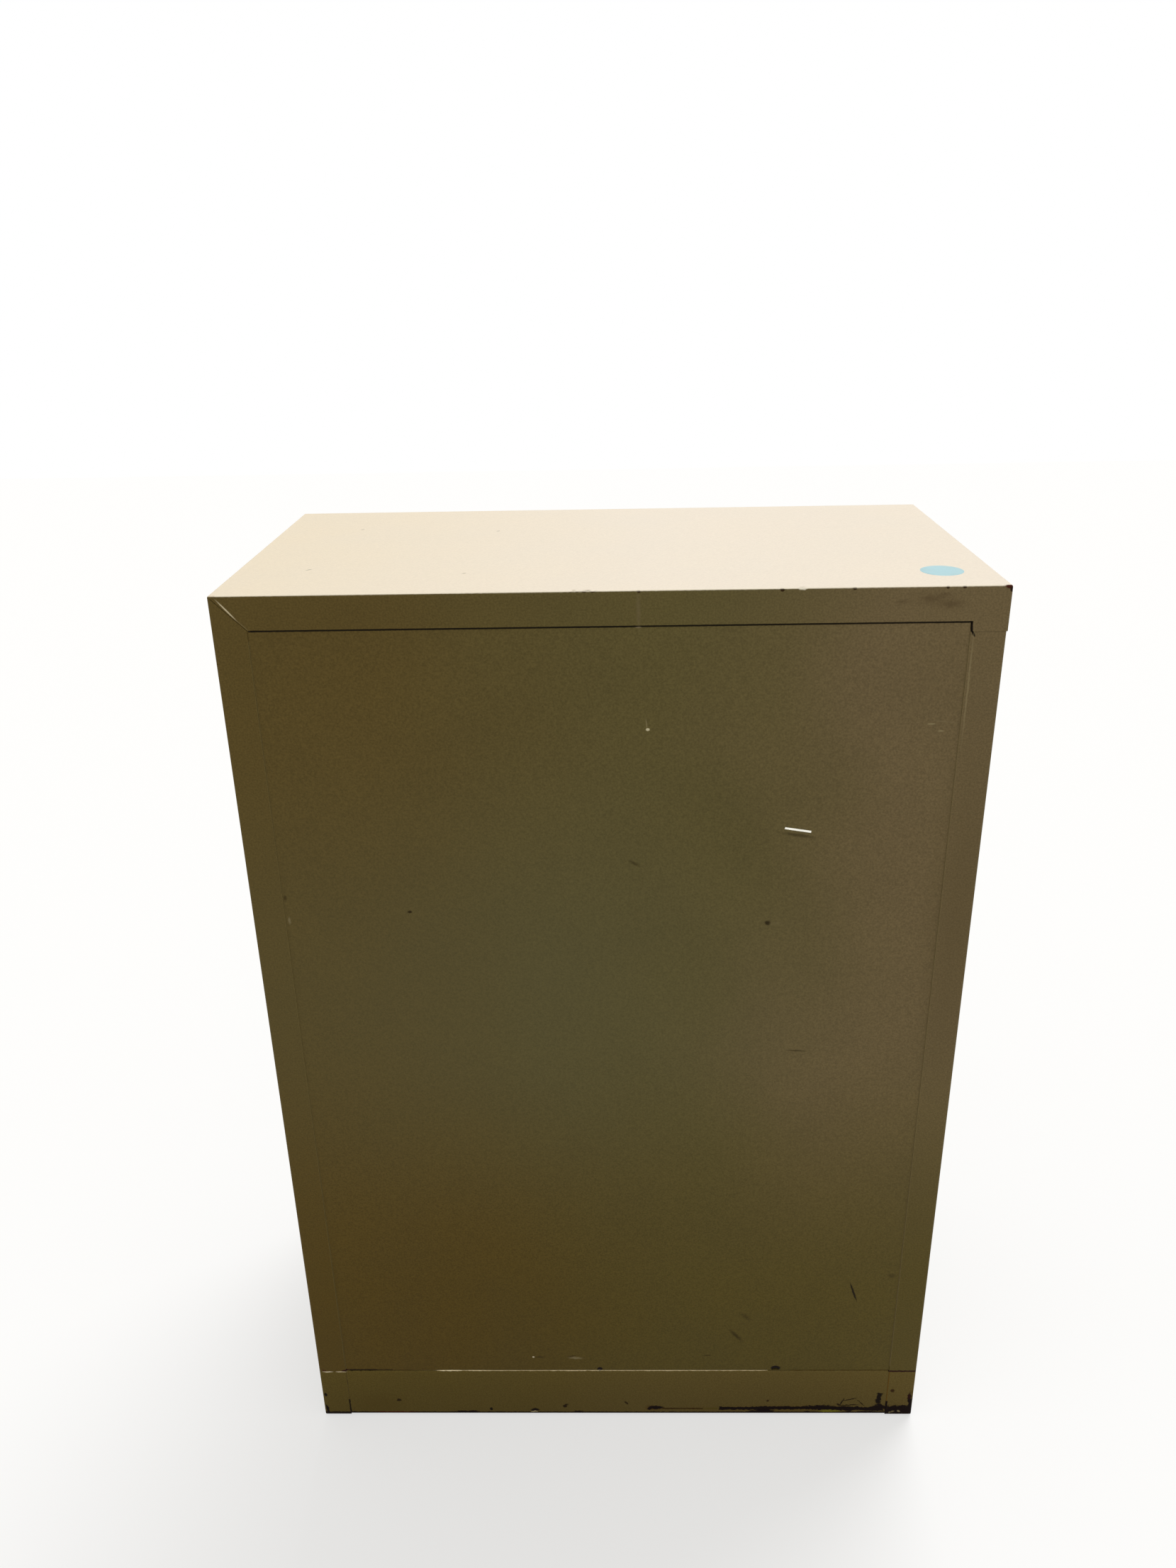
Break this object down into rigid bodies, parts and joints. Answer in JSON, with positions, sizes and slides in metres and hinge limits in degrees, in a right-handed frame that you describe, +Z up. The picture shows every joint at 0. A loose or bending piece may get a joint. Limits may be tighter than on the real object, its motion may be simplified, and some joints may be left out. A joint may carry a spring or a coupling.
{
  "type": "lateral filing cabinet",
  "caption": "Wide lateral filing cabinet of folded, enamelled sheet steel, with full-width drawers on telescopic slides, a recessed back panel and a lock bar that holds the drawers shut.",
  "frame": {"origin": "on the floor, under the middle of the case", "axes": "+Z up; -Y is the way the drawers come out, so +Y is the back that the picture shows; +X is to the right of somebody who stands in front of the drawers"},
  "size_m": [0.9159, 0.4906, 1.3145],
  "materials": {
    "case_enamel": "semi-gloss putty enamel, worn at the edges",
    "base_enamel": "semi-gloss putty enamel, scuffed",
    "drawer_enamel": "semi-gloss putty enamel",
    "box_enamel": "thin putty enamel",
    "frame_steel": "zinc-coated steel sheet",
    "slide_steel": "bright zinc plate",
    "pull_aluminium": "satin anodised",
    "label_holder_aluminium": "satin anodised",
    "folder_rail_aluminium": "mill finish",
    "lock_chrome": "polished chrome plate",
    "lock_steel": "zinc plate",
    "glide_steel": "zinc plate, dulled",
    "ballast_steel": "black lacquer"
  },
  "bodies": {
    "case": {"case_wrapper": "case_enamel", "left_side_panel": "case_enamel", "back_panel": "case_enamel", "case_bottom": "case_enamel", "top_stiffener": "frame_steel", "base_back_rail": "base_enamel", "base_front_rail": "base_enamel", "base_side_rails": "base_enamel", "corner_feet": "base_enamel", "levelling_glides": "glide_steel", "ballast_bar": "ballast_steel", "upright_front_right": "frame_steel", "upright_front_left": "frame_steel", "uprights_back": "frame_steel", "cross_rails": "frame_steel", "slide_outer_1": "slide_steel", "slide_outer_2": "slide_steel", "slide_outer_3": "slide_steel", "slide_outer_4": "slide_steel", "lock_cylinder": "lock_chrome"},
    "drawer_1": {"drawer_1_front": "drawer_enamel", "drawer_1_liner": "drawer_enamel", "drawer_1_pull": "pull_aluminium", "drawer_1_label_holder": "label_holder_aluminium", "drawer_1_box": "box_enamel", "drawer_1_catch": "slide_steel", "drawer_1_folder_rails": "folder_rail_aluminium", "drawer_1_slide": "slide_steel"},
    "drawer_2": {"drawer_2_front": "drawer_enamel", "drawer_2_liner": "drawer_enamel", "drawer_2_pull": "pull_aluminium", "drawer_2_label_holder": "label_holder_aluminium", "drawer_2_box": "box_enamel", "drawer_2_catch": "slide_steel", "drawer_2_folder_rails": "folder_rail_aluminium", "drawer_2_slide": "slide_steel"},
    "drawer_3": {"drawer_3_front": "drawer_enamel", "drawer_3_liner": "drawer_enamel", "drawer_3_pull": "pull_aluminium", "drawer_3_label_holder": "label_holder_aluminium", "drawer_3_box": "box_enamel", "drawer_3_catch": "slide_steel", "drawer_3_folder_rails": "folder_rail_aluminium", "drawer_3_slide": "slide_steel"},
    "drawer_4": {"drawer_4_front": "drawer_enamel", "drawer_4_liner": "drawer_enamel", "drawer_4_pull": "pull_aluminium", "drawer_4_label_holder": "label_holder_aluminium", "drawer_4_box": "box_enamel", "drawer_4_catch": "slide_steel", "drawer_4_folder_rails": "folder_rail_aluminium", "drawer_4_slide": "slide_steel"},
    "slide_carriage_1": {"slide_middle_1": "slide_steel"},
    "slide_carriage_2": {"slide_middle_2": "slide_steel"},
    "slide_carriage_3": {"slide_middle_3": "slide_steel"},
    "slide_carriage_4": {"slide_middle_4": "slide_steel"},
    "lock_turning_part": {"lock_plug": "lock_chrome", "lock_cam": "lock_steel"},
    "lock_bar": {"lock_bar": "lock_steel"}
  },
  "joints": [
    {"name": "drawer_1_slide", "type": "slide", "parent": "case", "child": "drawer_1", "axis": [0, -1, 0], "range_m": [0, 0.4064]},
    {"name": "drawer_2_slide", "type": "slide", "parent": "case", "child": "drawer_2", "axis": [0, -1, 0], "range_m": [0, 0.4064]},
    {"name": "drawer_3_slide", "type": "slide", "parent": "case", "child": "drawer_3", "axis": [0, -1, 0], "range_m": [0, 0.4064]},
    {"name": "drawer_4_slide", "type": "slide", "parent": "case", "child": "drawer_4", "axis": [0, -1, 0], "range_m": [0, 0.4064]},
    {"name": "slide_carriage_1_travel", "type": "slide", "parent": "case", "child": "slide_carriage_1", "axis": [0, -1, 0], "range_m": [0, 0.2032]},
    {"name": "slide_carriage_2_travel", "type": "slide", "parent": "case", "child": "slide_carriage_2", "axis": [0, -1, 0], "range_m": [0, 0.2032]},
    {"name": "slide_carriage_3_travel", "type": "slide", "parent": "case", "child": "slide_carriage_3", "axis": [0, -1, 0], "range_m": [0, 0.2032]},
    {"name": "slide_carriage_4_travel", "type": "slide", "parent": "case", "child": "slide_carriage_4", "axis": [0, -1, 0], "range_m": [0, 0.2032]},
    {"name": "lock_bar_lift", "type": "slide", "parent": "case", "child": "lock_bar", "axis": [0, 0, 1], "range_m": [0, 0.01414]},
    {"name": "lock_turn", "type": "hinge", "parent": "case", "child": "lock_turning_part", "pos_m": [0.4152, -0.24447, 1.29795], "axis": [0, -1, 0], "range_deg": [0, 90]}
  ],
  "couplings": [
    {"joint": "slide_carriage_1_travel", "follows": "drawer_1_slide", "ratio": 0.5},
    {"joint": "slide_carriage_2_travel", "follows": "drawer_2_slide", "ratio": 0.5},
    {"joint": "slide_carriage_3_travel", "follows": "drawer_3_slide", "ratio": 0.5},
    {"joint": "slide_carriage_4_travel", "follows": "drawer_4_slide", "ratio": 0.5},
    {"joint": "lock_turn", "follows": "lock_bar_lift", "rad_per_m": 111.07}
  ]
}
